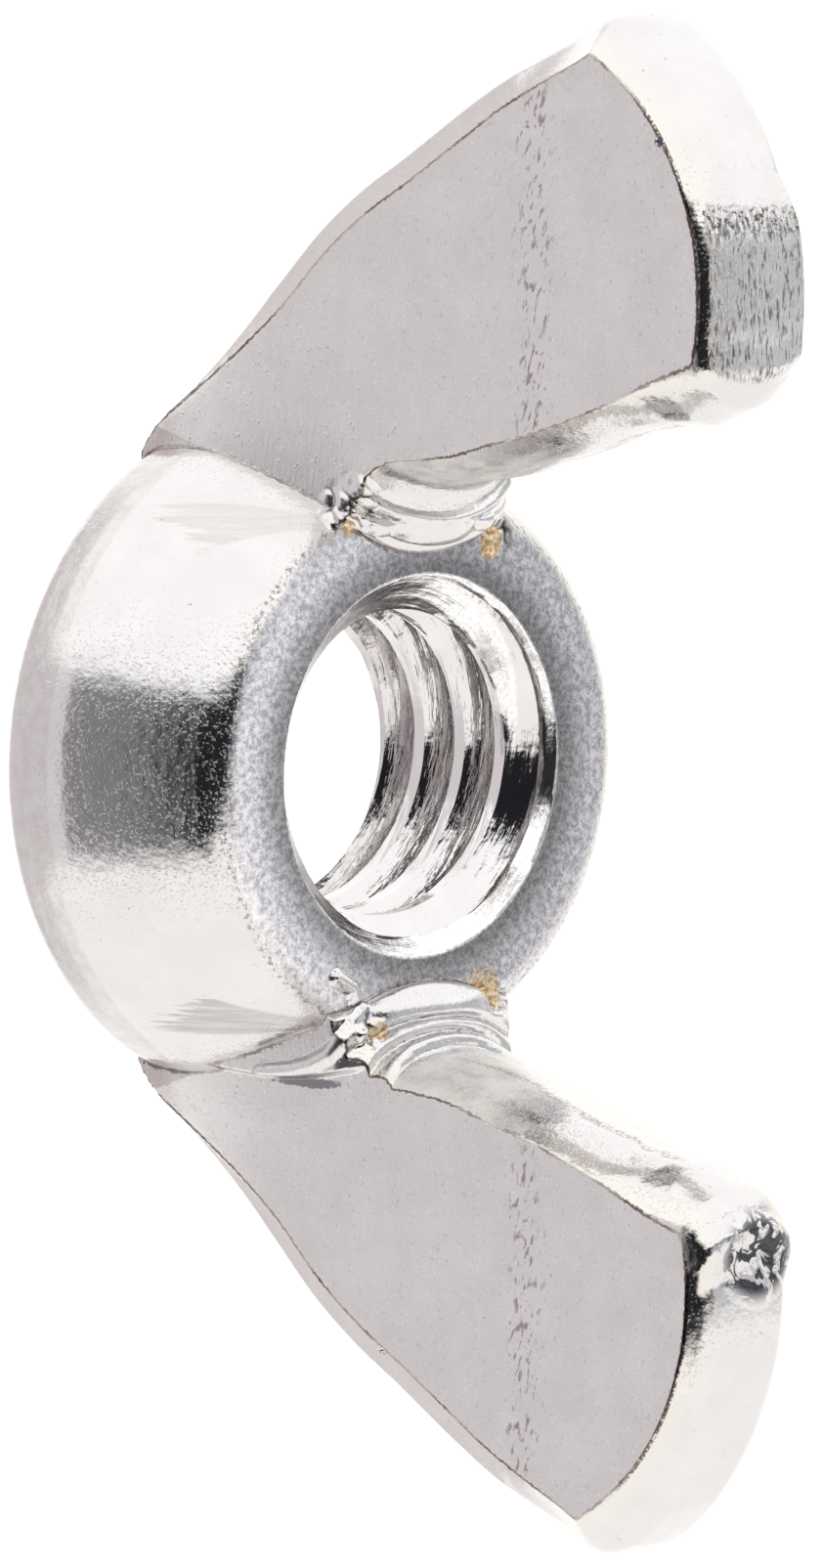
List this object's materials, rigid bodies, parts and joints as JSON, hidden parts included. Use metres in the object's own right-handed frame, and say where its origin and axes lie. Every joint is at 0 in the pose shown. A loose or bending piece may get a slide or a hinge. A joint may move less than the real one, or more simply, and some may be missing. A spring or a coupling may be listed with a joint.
{
  "type": "wing nut",
  "caption": "Cold-forged plated wing nut: conical hub with a metric threaded bore and two upright tapered wings for turning by hand.",
  "frame": {"origin": "centre of the bearing face, on the thread's axis", "axes": "+Z along the thread's axis, away from the bearing face towards the wing tips; the wings spread along X"},
  "size_m": [0.0318, 0.015, 0.0153],
  "materials": {
    "plated_steel": "bright electroplated steel, smooth as forged, light handling marks"
  },
  "bodies": {
    "root": {"wing_nut": "plated_steel"}
  },
  "joints": []
}
